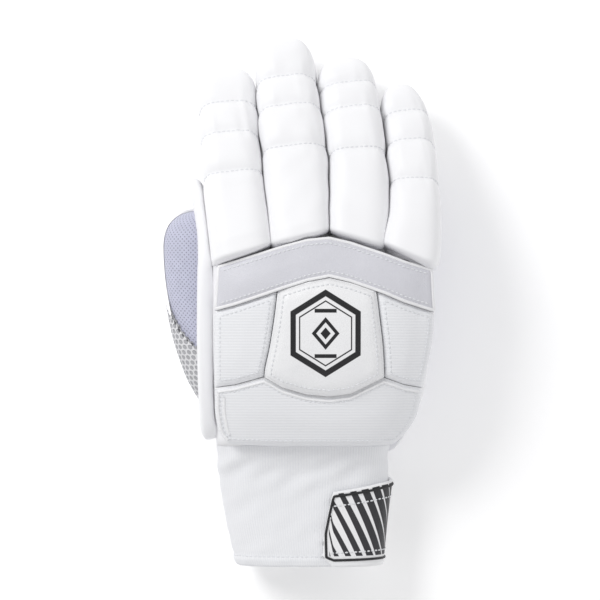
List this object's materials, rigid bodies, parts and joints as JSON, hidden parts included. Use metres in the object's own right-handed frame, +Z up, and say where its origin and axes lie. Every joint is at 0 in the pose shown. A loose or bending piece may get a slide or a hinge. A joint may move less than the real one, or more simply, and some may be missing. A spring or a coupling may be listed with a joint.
{
  "type": "cricket batting glove",
  "caption": "Padded cricket batting glove for the right hand, lying palm down, with finger rolls, back pads, leather palm, thumb stall and strapped cuff.",
  "frame": {"origin": "centre of the bounding box in plan, on the surface that the glove rests on", "axes": "+Y from the cuff's mouth to the fingertips, +X to the little finger's side, +Z up out of the back of the hand"},
  "size_m": [0.1396, 0.2684, 0.0829],
  "materials": {
    "white_leather": "smooth, satin",
    "white_cloth": "fine ribbed cloth",
    "grey_leather": "satin",
    "lavender_leather": "perforated suede",
    "white_mesh": "open spacer mesh on a backing"
  },
  "bodies": {
    "root": {"glove_back": "white_leather", "palm_leather": "lavender_leather", "index_roll": "white_leather", "middle_roll": "white_leather", "ring_roll": "white_leather", "little_roll": "white_leather", "index_cap": "white_leather", "middle_cap": "white_leather", "ring_cap": "white_leather", "little_cap": "white_leather", "knuckle_band": "grey_leather", "centre_pad": "white_leather", "inner_pad": "white_cloth", "outer_pad": "white_cloth", "lower_pad": "white_cloth", "index_side_bar": "white_leather", "little_side_bar": "white_leather", "thumb_stall": "lavender_leather", "thumb_pad": "white_leather", "thumb_mesh": "white_mesh", "cuff": "white_cloth", "strap": "white_leather", "vent_loop": "white_leather"}
  },
  "joints": []
}
